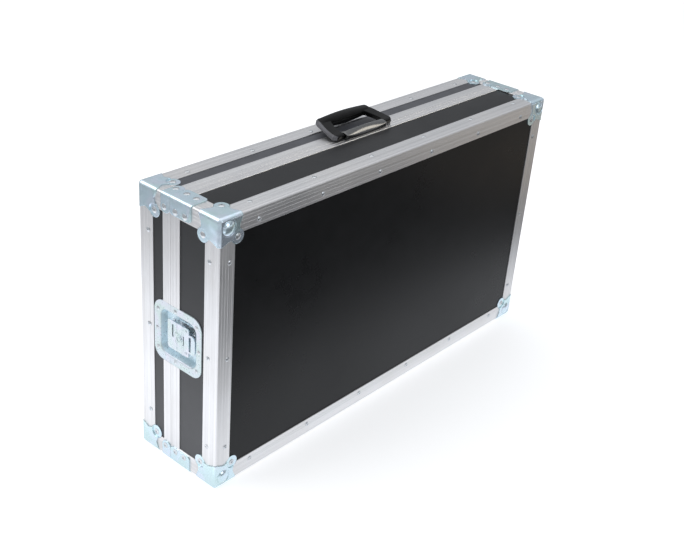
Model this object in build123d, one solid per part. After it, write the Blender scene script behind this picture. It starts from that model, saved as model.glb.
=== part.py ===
from build123d import *
import math
import os

# ---------------------------------------------------------------------------
# Flight case standing on one long narrow side.
# Frame: +X along the length, -Y is the large panel of the deep half (front),
# +Y is the large panel of the lid, +Z up.  Origin: middle of the footprint.
# All sizes in millimetres.
# ---------------------------------------------------------------------------

# overall size over the steel corners (without the pressed domes)
LENGTH = 820.0
DEPTH = 176.0
HEIGHT = 468.0

STEEL = 1.5            # pressed steel of corners, braces and latch dishes
SEAM_Y = 17.0          # plane where lid and body meet
LEG = 30.0             # leg of the aluminium edge angle
ANGLE_T = 1.6          # wall of the angle and of the closing profile
RIB_DEPTH = 0.22       # shallow grooves along the extrusions
PLY = 7.0              # laminated plywood panel
EDGE_R = 3.2           # outer rounding of the angle
CORNER_R = 6.0         # outer rounding of the pressed steel corners
BRACE_R = 4.5          # outer rounding of the braces

CLOSE_BODY = 20.0      # visible width of the closing profile, body half
CLOSE_LID = 17.0       # visible width of the closing profile, lid half
SEAM_GAP = 0.15        # half of the gap between the two closing profiles
PLY_SET = 7.0          # the plywood ends this far from the seam

CORNER_BODY = 44.0     # edge length of the front corners
CORNER_LID = 41.0      # edge length of the rear corners
LOBE_C = 36.0          # rivet lobe centre from both outer edges
LOBE_R = 11.5
DOME_C = 17.5          # pressed dome centre from both outer edges
DOME_R = 11.0
DOME_H = 3.5

RIVET_EDGE = 21.5      # strip rivets from the outer edge
RIVET_X = (-333.5, -200.0, -66.7, 66.7, 200.0, 333.5)
RIVET_Z = (73.0, 234.0, 395.0)
SHANK_R = 2.0
HOLE_R = 2.1

FOAM_T = 10.0          # lining of the four walls
FOAM_BASE = 15.0       # lining of the large panels
FOAM_GAP = 1.4         # adhesive and rivet tails behind the foam

# recessed turn latch in each short end
LATCH_Z = 236.5        # hub height
LATCH_Y = -1.0         # hub position in depth
DISH_Y = (-52.0, 54.5)
DISH_Z = (184.5, 288.5)
DISH_R = 20.0
PAN_Y = (-40.0, 41.5)
PAN_Z = (197.8, 275.2)
PAN_DEPTH = 12.5       # flange face to the floor of the pan
PAN_DRAFT = 15.0       # the walls of the pan lean outwards by this angle
PAN_R = 15.0
PAN_LIP = 2.2          # rounding where the flange turns into the pan
HOOK_TRAVEL = 8.0      # the hook runs out by this much along Y
HOOK_LIFT = 2.0        # and rises by this much, so that its claw clears the keeper
WING_PLATE = {1: 27.0, -1: 20.6}   # the wing's plate reaches this far from the hub
WING_HALF = 25.0       # half height of the plates
BAR_FROM = 25.2        # finger bar of the body wing
BAR_REACH = 34.5
BAR_HALF = 16.0
WING_PIVOT = 7.5
WING_T = 1.8

# folding handle on top
HANDLE_AXIS_Y = 10.0
HANDLE_AXIS_UP = 6.0   # above the closing profile
BASE_HALF = 50.5       # half length of the fixed barrel
GRIP_HALF = 74.0       # half length over the eyes of the grip
BARREL_R = 10.5
BARREL_UP = 4.0        # barrel axis above the closing profile
HANDLE_TILT = 12.0     # grip lies back on the lid at this angle
PIN_R = 2.5
PIN_CLEAR = 0.06

XE, YE = LENGTH / 2 - STEEL, DEPTH / 2 - STEEL          # faces of the angles
Z0, Z1 = STEEL, HEIGHT - STEEL
XP, YP = XE - ANGLE_T, YE - ANGLE_T                      # faces of the plywood
ZP0, ZP1 = Z0 + ANGLE_T, Z1 - ANGLE_T
XI, YI = XP - PLY, YP - PLY                              # inside of the plywood
ZI0, ZI1 = ZP0 + PLY, ZP1 - PLY
MIT = 0.05                                               # half mitre gap


def box(x0, x1, y0, y1, z0, z1):
    return Pos((x0 + x1) / 2, (y0 + y1) / 2, (z0 + z1) / 2) * Box(abs(x1 - x0), abs(y1 - y0), abs(z1 - z0))


def cyl(p, d, r, h):
    """Cylinder from point p along direction d, radius r, length h."""
    return Plane(origin=p, z_dir=d) * (Pos(0, 0, h / 2) * Cylinder(r, h))


def prism(points, plane, depth):
    """Polygon given in plane coordinates, extruded along the plane normal."""
    with BuildSketch(plane) as s:
        with BuildLine():
            Polyline(*points, close=True)
        make_face()
    return extrude(s.sketch, amount=depth)


def solids(shape):
    if isinstance(shape, (list, tuple)):
        out = []
        for s in shape:
            out += solids(s)
        return out
    return list(shape.solids())


# ------------------------------------------------------------------ sections
def ribs(marks, depth):
    """Slots cut in the outer face of an extrusion: pairs of from, to."""
    pts = []
    for a, b in marks:
        pts += [(a, 0.0), (a + 0.15, depth), (b - 0.15, depth), (b, 0.0)]
    return pts


ANGLE_RIBS = [(6.0, 7.0), (11.6, 12.6), (17.6, 18.4), (22.2, 25.6)]
CLOSE_RIBS = [(3.2, 4.0), (6.4, 7.2), (13.2, 14.2)]


def angle_section():
    """L section; both legs run from the outer corner at (0, 0)."""
    a = ribs(ANGLE_RIBS, RIB_DEPTH)
    leg_a = [(x, y) for x, y in a]
    leg_b = [(y, x) for x, y in reversed(a)]
    r = EDGE_R
    n = 6
    arc = []
    for i in range(n + 1):
        t = math.radians(180 + 90 * i / n)
        arc.append((r + r * math.cos(t), r + r * math.sin(t)))
    pts = arc + leg_a + [(LEG - 0.5, 0.0), (LEG, 0.5), (LEG, ANGLE_T), (ANGLE_T, ANGLE_T), (ANGLE_T, LEG), (0.5, LEG), (0.0, LEG - 0.5)] + leg_b
    return pts


def body_close_section():
    """Groove section: first number from the seam, second below the face."""
    g, w = SEAM_GAP, CLOSE_BODY
    return ([(g + 0.4, 0.0)] + ribs(CLOSE_RIBS, RIB_DEPTH) +
            [(w - 0.4, 0.0), (w, 0.4), (w, 1.6), (PLY_SET, 1.6), (PLY_SET, 8.6), (16.0, 8.6), (16.0, 10.2), (g, 10.2),
             (g, 7.4), (5.2, 7.4), (5.2, 2.8), (g, 2.8), (g, 0.4)])


def lid_close_section():
    """Tongue section: the tongue stands out past the seam."""
    g, w = SEAM_GAP, CLOSE_LID
    return ([(g + 0.4, 0.0)] + ribs([(3.2, 4.0), (6.4, 7.2), (11.4, 12.4)], RIB_DEPTH) +
            [(w - 0.4, 0.0), (w, 0.4), (w, 1.6), (PLY_SET, 1.6), (PLY_SET, 8.6), (14.0, 8.6), (14.0, 10.2), (g, 10.2),
             (g, 7.0), (-4.0, 6.9), (-4.6, 6.4), (-4.6, 3.8), (-4.0, 3.3), (g, 3.2), (g, 0.4)])


def mitre(side, inset=60.0):
    """45 degree mitred region of one side of the frame, seen along Y."""
    m = MIT * math.sqrt(2)
    if side in ("top", "bottom"):
        zz, s = (Z1, -1) if side == "top" else (Z0, 1)
        pts = [(-XE - 5 + m, zz - 5 * s), (XE + 5 - m, zz - 5 * s), (XE - inset - m, zz + inset * s), (-XE + inset + m, zz + inset * s)]
    else:
        xx, s = (-XE, 1) if side == "left" else (XE, -1)
        pts = [(xx - 5 * s, Z0 - 5 + m), (xx - 5 * s, Z1 + 5 - m), (xx + inset * s, Z1 - inset - m), (xx + inset * s, Z0 + inset + m)]
    pl = Plane(origin=(0, 120, 0), x_dir=(1, 0, 0), z_dir=(0, -1, 0))
    return prism(pts, pl, 240)


def side_plane(side, depth_dir, origin_y, inset=0.0):
    """Plane whose x runs along depth_dir * Y and whose y runs inward."""
    inward = {"top": (0, 0, -1), "bottom": (0, 0, 1), "left": (1, 0, 0), "right": (-1, 0, 0)}[side]
    x = (0, depth_dir, 0)
    n = (x[1] * inward[2] - x[2] * inward[1], x[2] * inward[0] - x[0] * inward[2], x[0] * inward[1] - x[1] * inward[0])
    if side in ("top", "bottom"):
        o = (-n[0] * (XE + 5), origin_y, (Z1 if side == "top" else Z0))
        ln = 2 * XE + 10
    else:
        o = ((-XE if side == "left" else XE), origin_y, (Z0 + Z1) / 2 - n[2] * ((Z1 - Z0) / 2 + 5))
        ln = Z1 - Z0 + 10
    return Plane(origin=o, x_dir=x, z_dir=n), ln


_env = Pos(0, 0, (Z0 + Z1) / 2) * Box(2 * XE, 2 * YE, Z1 - Z0)
ENVELOPE = fillet(_env.edges(), EDGE_R - 0.1)      # rounded outside of the extrusions


def frame_member(side, section, depth_dir, origin_y):
    pl, ln = side_plane(side, depth_dir, origin_y)
    return prism(section, pl, ln) & mitre(side) & ENVELOPE


# ------------------------------------------------------------------- rivets
def rivet(head_r, head_h, grip, tail=True, flush=False):
    """Rivet along +Z with its head's seat at z = 0."""
    pts = [(0, -grip - 1.2), (3.1, -grip - 1.2), (3.1, -grip), (SHANK_R, -grip)]
    if not tail:
        pts = [(0, -grip), (SHANK_R, -grip)]
    if flush:
        pts += [(SHANK_R, 0), (head_r, 0), (head_r, head_h), (0, head_h)]
    else:
        pts += [(SHANK_R, 0), (head_r, 0), (head_r, 0.3)]
        rr = (head_r ** 2 + (head_h - 0.3) ** 2) / (2 * (head_h - 0.3))
        for i in range(1, 5):
            x = head_r * (1 - i / 6)
            pts.append((x, 0.3 + math.sqrt(rr ** 2 - x ** 2) - (rr - (head_h - 0.3))))
        # the drawn mandrel leaves a hollow in the middle of the head
        x = 0.3 * head_r
        pts += [(x, head_h - 0.06), (x - 0.12, 0.28), (0, 0.28)]
    with BuildSketch(Plane.XZ) as s:
        with BuildLine():
            Polyline(*pts, close=True)
        make_face()
    return revolve(s.sketch, Axis.Z)


def place(shape, p, n):
    return shape.moved(Location(Plane(origin=p, z_dir=n)))


class Holes:
    """Rivets of one half, with the holes that they need."""

    def __init__(self):
        self.rivets = []
        self.cuts = []
        self.cache = {}

    def add(self, p, n, head_r, head_h, grip, flush=False, tail=True):
        key = (head_r, head_h, grip, flush, tail)
        if key not in self.cache:
            self.cache[key] = rivet(head_r, head_h, grip, tail, flush)
        self.rivets += solids(place(self.cache[key], p, n))
        q = tuple(p[i] - n[i] * (grip + 0.0) for i in range(3))
        self.cuts.append((p, n, grip, cyl(q, n, HOLE_R, grip + 0.0)))

    def near(self, shape):
        """Cutters whose axis passes the shape's box."""
        bb = shape.bounding_box()
        out = []
        for p, n, grip, c in self.cuts:
            q = [p[i] - n[i] * grip for i in range(3)]
            lo = [min(p[i], q[i]) - HOLE_R for i in range(3)]
            hi = [max(p[i], q[i]) + HOLE_R for i in range(3)]
            b0, b1 = bb.min, bb.max
            if lo[0] < b1.X and hi[0] > b0.X and lo[1] < b1.Y and hi[1] > b0.Y and lo[2] < b1.Z and hi[2] > b0.Z:
                out.append(c)
        return out

    def drill(self, shape):
        c = self.near(shape)
        return shape - c if c else shape


# ------------------------------------------------------------------- corners
def corner_outline(L):
    """Main plate outline on one face; the outer vertex is at (0, 0)."""
    half = [(L, 0), (L - 0.5, 5.0), (L - 2.6, 11.0), (L - 5.2, 16.5), (38.4, 22.0), (40.0, 26.0)]
    mid = [(LOBE_C + 3, LOBE_C + 3)]
    return [(0, 0)] + half + mid + [(y, x) for x, y in reversed(half)]


def face_frames(sx, sy, sz):
    """The three outer faces at a corner as (origin, u, v, inward)."""
    o = (sx * LENGTH / 2, sy * DEPTH / 2, HEIGHT if sz > 0 else 0.0)
    ux, uy, uz = (-sx, 0, 0), (0, -sy, 0), (0, 0, -sz)
    return o, [("panel", ux, uz, uy), ("end", uy, uz, ux), ("flat", ux, uy, uz)]


def on_face(o, u, v, n, a, b, c=0.0):
    return tuple(o[i] + u[i] * a + v[i] * b + n[i] * c for i in range(3))


def slab(o, u, v, n, pts, d0, d1):
    """Prism over pts (u, v) between depths d0 and d1 below the face."""
    cr = (u[1] * v[2] - u[2] * v[1], u[2] * v[0] - u[0] * v[2], u[0] * v[1] - u[1] * v[0])
    same = sum(cr[i] * n[i] for i in range(3)) > 0
    if same:
        pl = Plane(origin=on_face(o, u, v, n, 0, 0, d0), x_dir=u, z_dir=n)
        return prism(pts, pl, d1 - d0)
    pl = Plane(origin=on_face(o, u, v, n, 0, 0, d0), x_dir=v, z_dir=n)
    return prism([(b, a) for a, b in pts], pl, d1 - d0)


def corner_block(sx, sy, sz, S, inset, r=0.0):
    """Block of size S at one corner of the case, its three outer edges rounded."""
    bx = box(sx * (LENGTH / 2 - inset), sx * (LENGTH / 2 - S), sy * (DEPTH / 2 - inset), sy * (DEPTH / 2 - S),
             (HEIGHT - inset) if sz > 0 else inset, (HEIGHT - S) if sz > 0 else S)
    if not r:
        return bx
    vx = (sx * (LENGTH / 2 - inset), sy * (DEPTH / 2 - inset), (HEIGHT - inset) if sz > 0 else inset)
    es = [e for e in bx.edges() if min((Vector(*vx) - e.position_at(0)).length, (Vector(*vx) - e.position_at(1)).length) < 1e-3]
    return fillet(es, r)


def corner_notch(sx, sy, sz, L):
    """What the extrusions and the panel lose so that they fit in the rounded corner."""
    S = L + 0.2
    return corner_block(sx, sy, sz, S, STEEL - 1.0) - corner_block(sx, sy, sz, S + 5, STEEL, CORNER_R - STEEL + 0.1)


def make_corner(sx, sy, sz, L):
    o, faces = face_frames(sx, sy, sz)
    S = 62.0
    shell = corner_block(sx, sy, sz, S, 0.0, CORNER_R) - corner_block(sx, sy, sz, S, STEEL, CORNER_R - STEEL)
    keep = None
    extra = []
    cut = []
    for name, u, v, n in faces:
        plate = slab(o, u, v, n, corner_outline(L), -1.0, CORNER_R + 0.5)
        keep = plate if keep is None else keep + plate
        c = on_face(o, u, v, n, LOBE_C, LOBE_C, 0)
        out = tuple(-k for k in n)
        disc = cyl(on_face(o, u, v, n, LOBE_C, LOBE_C, STEEL + ANGLE_T), out, LOBE_R, STEEL)
        wall = (cyl(on_face(o, u, v, n, LOBE_C, LOBE_C, STEEL + ANGLE_T), out, LOBE_R, STEEL + ANGLE_T)
                & slab(o, u, v, n, corner_outline(L), -0.5, STEEL + ANGLE_T + 0.5)) \
            - cyl(on_face(o, u, v, n, LOBE_C, LOBE_C, STEEL + ANGLE_T + 0.5), out, LOBE_R - STEEL, STEEL + ANGLE_T + 2)
        extra += [disc, wall]
        cut.append(cyl(on_face(o, u, v, n, LOBE_C, LOBE_C, CORNER_R + 2), out, LOBE_R - STEEL, CORNER_R + 5))
    part = (shell & keep) - cut
    for e in extra:
        part = part + e
    # pressed dome on the large face
    name, u, v, n = faces[0]
    out = tuple(-k for k in n)
    R = (DOME_R ** 2 + DOME_H ** 2) / (2 * DOME_H)
    c = on_face(o, u, v, n, DOME_C, DOME_C, R - DOME_H)
    cap = (Pos(*c) * Sphere(R)) & cyl(on_face(o, u, v, n, DOME_C, DOME_C, 0.3), out, DOME_R + 1, DOME_H + 2)
    hollow = (Pos(*c) * Sphere(R - STEEL)) & cyl(on_face(o, u, v, n, DOME_C, DOME_C, STEEL + 0.5), out, DOME_R + 1, DOME_H + 2)
    part = (part + cap) - hollow
    # groove pressed round the dome
    q = on_face(o, u, v, n, DOME_C, DOME_C, 0.5)
    groove = cyl(q, out, DOME_R + 2.3, 3.0) - cyl(on_face(o, u, v, n, DOME_C, DOME_C, 1.5), out, DOME_R + 0.2, 5.0)
    part = part - groove
    s = sorted(part.solids(), key=lambda q: -q.volume)
    return s[0]


def make_brace(sx, sz, y0, y1, flat_leg, end_leg, rr, rivet_ys):
    """L bracket over the short edge from y0 to y1."""
    X, Zf = sx * LENGTH / 2, (HEIGHT if sz > 0 else 0.0)
    S = 60.0

    def rounded(inset, r):
        bx = box(X - sx * inset, X - sx * S, y0, y1, Zf - sz * inset, Zf - sz * S)
        es = [e for e in bx.edges() if abs(e.center().X - (X - sx * inset)) < 1e-3 and abs(e.center().Z - (Zf - sz * inset)) < 1e-3]
        return fillet(es, r)
    shell = rounded(0, BRACE_R) - rounded(STEEL, BRACE_R - STEEL)
    top = box(X + sx, X - sx * flat_leg, y0, y1, Zf + sz, Zf - sz * (BRACE_R + 0.3))
    es = [e for e in top.edges() if abs(e.center().X - (X - sx * flat_leg)) < 1e-3 and abs(e.length - (BRACE_R + 0.3 + 1)) < 1e-3]
    top = fillet(es, rr)
    end = box(X + sx, X - sx * (BRACE_R + 0.3), y0, y1, Zf + sz, Zf - sz * end_leg)
    es = [e for e in end.edges() if abs(e.center().Z - (Zf - sz * end_leg)) < 1e-3 and abs(e.length - (BRACE_R + 0.3 + 1)) < 1e-3]
    end = fillet(es, rr)
    return (shell & (top + end)).solids()[0]


# ------------------------------------------------------------- build the half
parts = {}
body_holes, lid_holes = Holes(), Holes()
HEAD_R, HEAD_H = 3.9, 1.3        # rivets along the angles
BIG_R, BIG_H = 5.0, 1.4          # rivets of corners and braces
SIDES = ("top", "bottom", "left", "right")
OUT = {"top": (0, 0, 1), "bottom": (0, 0, -1), "left": (-1, 0, 0), "right": (1, 0, 0)}


def side_point(side, a, y, inset):
    """Point on one of the four narrow faces, a along it, inset below it."""
    if side == "top":
        return (a, y, Z1 - inset)
    if side == "bottom":
        return (a, y, Z0 + inset)
    if side == "left":
        return (-XE + inset, y, a)
    return (XE - inset, y, a)


def panel_point(side, a, ysign, d):
    if side == "top":
        return (a, ysign * YE, Z1 - d)
    if side == "bottom":
        return (a, ysign * YE, Z0 + d)
    if side == "left":
        return (-XE + d, ysign * YE, a)
    return (XE - d, ysign * YE, a)


for holes, ys in ((body_holes, -1), (lid_holes, 1)):
    for side in SIDES:
        for a in (RIVET_X if side in ("top", "bottom") else RIVET_Z):
            d = RIVET_EDGE - STEEL
            holes.add(side_point(side, a, ys * (YE - d), 0), OUT[side], HEAD_R, HEAD_H, ANGLE_T + PLY)
            holes.add(panel_point(side, a, ys, d), (0, ys, 0), HEAD_R, HEAD_H, ANGLE_T + PLY)
    for sx in (-1, 1):
        for sz in (-1, 1):
            o, faces = face_frames(sx, ys, sz)
            for name, u, v, n in faces:
                p = on_face(o, u, v, n, LOBE_C, LOBE_C, ANGLE_T)
                holes.add(p, tuple(-k for k in n), BIG_R, BIG_H, STEEL + PLY)

# braces: rivets sit 22 mm from the outer edge; flush where the case stands
BR = 22.0
for sx in (-1, 1):
    for sz in (-1, 1):
        X, Zf = sx * LENGTH / 2, (HEIGHT if sz > 0 else 0.0)
        for holes, ys in ((lid_holes, (28.6,)), (body_holes, (4.8, -15.6))):
            for y in ys:
                grip = STEEL + ANGLE_T + PLY + (ANGLE_T if y > 0 else 0.0)
                holes.add((X, y, Zf - sz * BR), (sx, 0, 0), BIG_R, BIG_H, grip)
                if sz > 0:
                    holes.add((X - sx * BR, y, Zf), (0, 0, sz), BIG_R, BIG_H, grip)
                else:
                    holes.add((X - sx * BR, y, Zf + 0.9), (0, 0, -1), 3.5, 0.85, grip - 0.9, flush=True)

# latch flange rivets
FX = XP + STEEL                  # outer face of the dish flange
DISH_RIV_BODY = [(-41.0, 274.5), (-46.0, 234.5), (-41.0, 198.5), (6.5, 281.0), (6.5, 192.0)]
DISH_RIV_LID = [(46.0, 270.5), (48.0, 236.0), (46.0, 202.5)]
for sx in (-1, 1):
    for holes, lst in ((body_holes, DISH_RIV_BODY), (lid_holes, DISH_RIV_LID)):
        for y, z in lst:
            holes.add((sx * FX, y, z), (sx, 0, 0), 3.4, 1.0, STEEL + PLY)

# ------------------------------------------------------------ edge extrusions
lobe_cut = {}
notches = {}
for ys in (-1, 1):
    lobe_cut[ys] = []
    notches[ys] = [corner_notch(sx, ys, sz, CORNER_BODY if ys < 0 else CORNER_LID) for sx in (-1, 1) for sz in (-1, 1)]
    for sx in (-1, 1):
        for sz in (-1, 1):
            o, faces = face_frames(sx, ys, sz)
            for name, u, v, n in faces:
                out = tuple(-k for k in n)
                lobe_cut[ys].append(cyl(on_face(o, u, v, n, LOBE_C, LOBE_C, STEEL + ANGLE_T), out, LOBE_R + 0.4, 8))

for ys, half, end, holes in ((-1, "body", "front", body_holes), (1, "lid", "back", lid_holes)):
    for side in SIDES:
        m = frame_member(side, angle_section(), -ys, ys * YE) - lobe_cut[ys] - notches[ys]
        m = sorted(m.solids(), key=lambda q: -q.volume)[0]
        parts[f"{half}_{end}_edge_{side}"] = holes.drill(m)

    y_a = ys * (YE - LEG - 0.05)
    y_b = (SEAM_Y - CLOSE_BODY - 0.05) if ys < 0 else (SEAM_Y + CLOSE_LID + 0.05)
    shorts = []
    for sx in (-1, 1):
        for sz in (-1, 1):
            ux, uz = (-sx, 0, 0), (0, 0, -sz)
            n = (ux[1] * uz[2] - ux[2] * uz[1], ux[2] * uz[0] - ux[0] * uz[2], ux[0] * uz[1] - ux[1] * uz[0])
            ny = n[1]
            y_start = min(y_a, y_b) if ny > 0 else max(y_a, y_b)
            pl = Plane(origin=(sx * XE, y_start, Z1 if sz > 0 else Z0), x_dir=ux, z_dir=n)
            m = prism(angle_section(), pl, abs(y_b - y_a)) - lobe_cut[ys] - notches[ys]
            m = sorted(m.solids(), key=lambda q: -q.volume)[0]
            shorts += solids(holes.drill(m))
    parts[f"{half}_short_edges"] = shorts

# ------------------------------------------------------------ closing profile
gap_box = [box(-LENGTH, LENGTH, DISH_Y[0], DISH_Y[1], DISH_Z[0] - 0.3, DISH_Z[1] + 0.3)]
for side in SIDES:
    m = frame_member(side, body_close_section(), -1, SEAM_Y)
    if side in ("left", "right"):
        m = m - gap_box
    parts[f"body_closing_profile_{side}"] = solids(body_holes.drill(m))
    m = frame_member(side, lid_close_section(), 1, SEAM_Y)
    # closed hollow beside the tongue
    if side == "top":
        hol = box(-XE + 14, XE - 14, SEAM_Y + 1.9, SEAM_Y + 5.3, Z1 - 8.4, Z1 - 1.8)
    elif side == "bottom":
        hol = box(-XE + 14, XE - 14, SEAM_Y + 1.9, SEAM_Y + 5.3, Z0 + 1.8, Z0 + 8.4)
    elif side == "left":
        hol = box(-XE + 1.8, -XE + 8.4, SEAM_Y + 1.9, SEAM_Y + 5.3, Z0 + 14, Z1 - 14)
    else:
        hol = box(XE - 8.4, XE - 1.8, SEAM_Y + 1.9, SEAM_Y + 5.3, Z0 + 14, Z1 - 14)
    if side in ("left", "right"):
        m = m - hol - gap_box
    parts[f"lid_closing_profile_{side}"] = solids(lid_holes.drill(m))

# --------------------------------------------------------------------- panels
WIN_Y = (PAN_Y[0] - STEEL - 0.3, PAN_Y[1] + STEEL + 0.3)
WIN_Z = (PAN_Z[0] - STEEL - 0.3, PAN_Z[1] + STEEL + 0.3)
for ys, half, end, holes in ((-1, "body", "front", body_holes), (1, "lid", "back", lid_holes)):
    pan = box(-XP, XP, ys * YI, ys * YP, ZP0, ZP1)
    parts[f"{half}_{end}_panel"] = holes.drill(pan - notches[ys])
    y1 = SEAM_Y - PLY_SET if ys < 0 else SEAM_Y + PLY_SET
    for side in SIDES:
        if side == "top":
            w = box(-XP, XP, ys * YI, y1, ZI1, ZP1)
        elif side == "bottom":
            w = box(-XP, XP, ys * YI, y1, ZP0, ZI0)
        else:
            s = -1 if side == "left" else 1
            w = box(s * XP, s * XI, ys * YI, y1, ZI0, ZI1)
            w = w - box(s * (XP + 5), s * (XI - 5), WIN_Y[0], WIN_Y[1], WIN_Z[0], WIN_Z[1])
        parts[f"{half}_{side}_wall"] = holes.drill(w)

# -------------------------------------------------------------------- corners
for ys, half, L, holes in ((-1, "body", CORNER_BODY, body_holes), (1, "lid", CORNER_LID, lid_holes)):
    for sx, xn in ((-1, "left"), (1, "right")):
        for sz, zn in ((1, "top"), (-1, "bottom")):
            parts[f"{half}_corner_{zn}_{xn}"] = holes.drill(make_corner(sx, ys, sz, L))

# --------------------------------------------------------------------- braces
bb_, lb_ = [], []
for sx in (-1, 1):
    for sz in (-1, 1):
        b = make_brace(sx, sz, -28.5, SEAM_Y - 0.2, 34.0, 28.5, 6.0, None)
        l = make_brace(sx, sz, SEAM_Y + 0.2, 36.5, 34.0, 31.0, 8.5, None)
        if sz < 0:
            Zf = 0.0
            b = b - [cyl((sx * (LENGTH / 2 - BR), y, -1), (0, 0, 1), 3.6, 1.9) for y in (4.8, -15.6)]
            l = l - [cyl((sx * (LENGTH / 2 - BR), 28.6, -1), (0, 0, 1), 3.6, 1.9)]
        bb_ += solids(body_holes.drill(b))
        lb_ += solids(lid_holes.drill(l))
parts["body_corner_braces"] = bb_
parts["lid_corner_braces"] = lb_


# -------------------------------------------------------------------- latches
def rounded_box(x0, x1, y0, y1, z0, z1, r):
    b = box(x0, x1, y0, y1, z0, z1)
    es = [e for e in b.edges() if abs(e.length - abs(x1 - x0)) < 1e-6 and abs(e.center().X - (x0 + x1) / 2) < 1e-6
          and abs(abs(e.tangent_at(0).X) - 1) < 1e-6]
    return fillet(es, r)


def wx(w):
    """Position across the left latch: w is outward from the flange face."""
    return -(FX + w)


def pressed_box(w0, w1, grow):
    """Block with drafted walls from w0 down to w1; it is larger than the pan's opening by grow on each side."""
    pl = Plane(origin=(wx(w0), (PAN_Y[0] + PAN_Y[1]) / 2, (PAN_Z[0] + PAN_Z[1]) / 2), x_dir=(0, 1, 0), z_dir=(1, 0, 0))
    sk = RectangleRounded(PAN_Y[1] - PAN_Y[0] + 2 * grow, PAN_Z[1] - PAN_Z[0] + 2 * grow, PAN_R + grow)
    return extrude(pl * sk, amount=w0 - w1, taper=PAN_DRAFT)


DRAFT = math.tan(math.radians(PAN_DRAFT))
flange = rounded_box(wx(0), wx(-STEEL), DISH_Y[0], DISH_Y[1], DISH_Z[0], DISH_Z[1], DISH_R)
pan_out = pressed_box(-STEEL, -PAN_DEPTH - STEEL, STEEL / math.cos(math.radians(PAN_DRAFT)) - STEEL * DRAFT)
pan_in = pressed_box(1.0, -PAN_DEPTH, DRAFT)
dish = (flange + pan_out) - pan_in
# cross-shaped hole stamped in the floor, above the mechanism
dish = dish - [box(wx(-PAN_DEPTH + 1), wx(-PAN_DEPTH - 3), LATCH_Y + ya, LATCH_Y + yb, LATCH_Z + za, LATCH_Z + zb)
               for ya, yb, za, zb in ((-14.5, 3.0, 27.0, 31.4), (-5.6, -0.8, 26.0, 34.6))]
# rounded lip where the flange turns into the pan
lip = [e for e in dish.edges() if abs(e.center().X - wx(0)) < 1e-4 and e.bounding_box().min.Y > PAN_Y[0] - 0.5 and e.bounding_box().max.Y < PAN_Y[1] + 0.5
       and e.bounding_box().min.Z > PAN_Z[0] - 0.5 and e.bounding_box().max.Z < PAN_Z[1] + 0.5]
try:
    dish = fillet(lip, PAN_LIP)
except Exception:
    print("lip of the dish left sharp", len(lip))
body_dish = (dish & box(-500, -300, -200, SEAM_Y - 0.15, 100, 400)).solids()[0]
lid_dish = (dish & box(-500, -300, SEAM_Y + 0.15, 200, 100, 400)).solids()[0]

hy, hz = LATCH_Y, LATCH_Z
floor_w = -PAN_DEPTH
# base plate with the spindle bore
base = rounded_box(wx(floor_w), wx(floor_w + 1.6), hy - 27, hy + 15, hz - 25, hz + 25, 4.0)
base = base - cyl((wx(floor_w) + 1, hy, hz), (-1, 0, 0), 4.0 + PIN_CLEAR, 4)
BASE_RIV = [(hy - 11.0, hz + 20.5), (hy - 11.0, hz - 20.5), (hy - 21.5, hz + 14.0), (hy - 21.5, hz - 14.0)]
# keeper on the lid: foot and upstanding lip
keeper = rounded_box(wx(floor_w), wx(floor_w + 1.4), hy + 20.6, hy + 26.0, hz - 21, hz + 21, 1.5) + box(wx(floor_w), wx(-10.6), hy + 23.8, hy + 26.0, hz - 12, hz + 12)
KEEP_RIV = [(hy + 22.9, hz + 17.0), (hy + 22.9, hz - 17.0)]
# hook: plate, guide slot and claw; run out and risen, its top is just under the disc
hook_w0, hook_w1 = -10.4, -6.6 - HOOK_LIFT
hook = box(wx(hook_w0), wx(hook_w1), hy - 17.5, hy + 28.8, hz - 10, hz + 10) + box(wx(-12.1), wx(hook_w1), hy + 26.5, hy + 28.8, hz - 10, hz + 10)
slot = box(wx(hook_w0) + 1, wx(hook_w1) - 1, hy - HOOK_TRAVEL - 4.4, hy, hz - 4.4, hz + 4.4) + cyl((wx(hook_w0) + 1, hy, hz), (-1, 0, 0), 4.4, 5)
hook = (hook - slot).solids()[0]
# hub: spindle, disc and the block that carries the wings
hub = cyl((wx(floor_w + 0.2), hy, hz), (-1, 0, 0), 4.0, 6.5)
hub = hub + cyl((wx(-6.4), hy, hz), (-1, 0, 0), 12.0, 1.5)
blk = box(wx(-5.0), wx(-1.1), hy - 8.9, hy + 8.9, hz - 7.5, hz + 7.5)
es = [e for e in blk.edges() if abs(abs(e.tangent_at(0).X) - 1) < 1e-6]
blk = fillet(es, 2.0)
hub = hub + blk
PW = -2.7                               # height of the wing pins
pin_z = WING_HALF - 0.4
# flat bar between the two wings, and the rings in the middle
hub = hub + box(wx(PW - WING_T / 2), wx(PW + WING_T / 2), hy - 5.4, hy + 5.4, hz - WING_HALF, hz + WING_HALF)
rim = cyl((wx(-4.95), hy, hz), (-1, 0, 0), 6.3, 4.85) - cyl((wx(-0.95), hy, hz), (-1, 0, 0), 4.9, 3)
hub = hub + rim + cyl((wx(-1.2), hy, hz), (-1, 0, 0), 3.2, 0.9)
hub = hub - [cyl((wx(PW), hy + s * WING_PIVOT, hz - 10), (0, 0, 1), 1.0, 20) for s in (-1, 1)]
hub = hub.solids()[0]
pins = [cyl((wx(PW), hy + s * WING_PIVOT, hz - pin_z), (0, 0, 1), 1.0, 2 * pin_z) for s in (-1, 1)]


def wing_sheet(s, ya, yb, half, r):
    """Flat sheet at the wings' height with its two far corners rounded."""
    p = box(wx(PW - WING_T / 2), wx(PW + WING_T / 2), hy + s * ya, hy + s * yb, hz - half, hz + half)
    es = [e for e in p.edges() if abs(abs(e.tangent_at(0).X) - 1) < 1e-6 and abs(e.center().Y - (hy + s * yb)) < 1e-6]
    return fillet(es, r)


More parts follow.
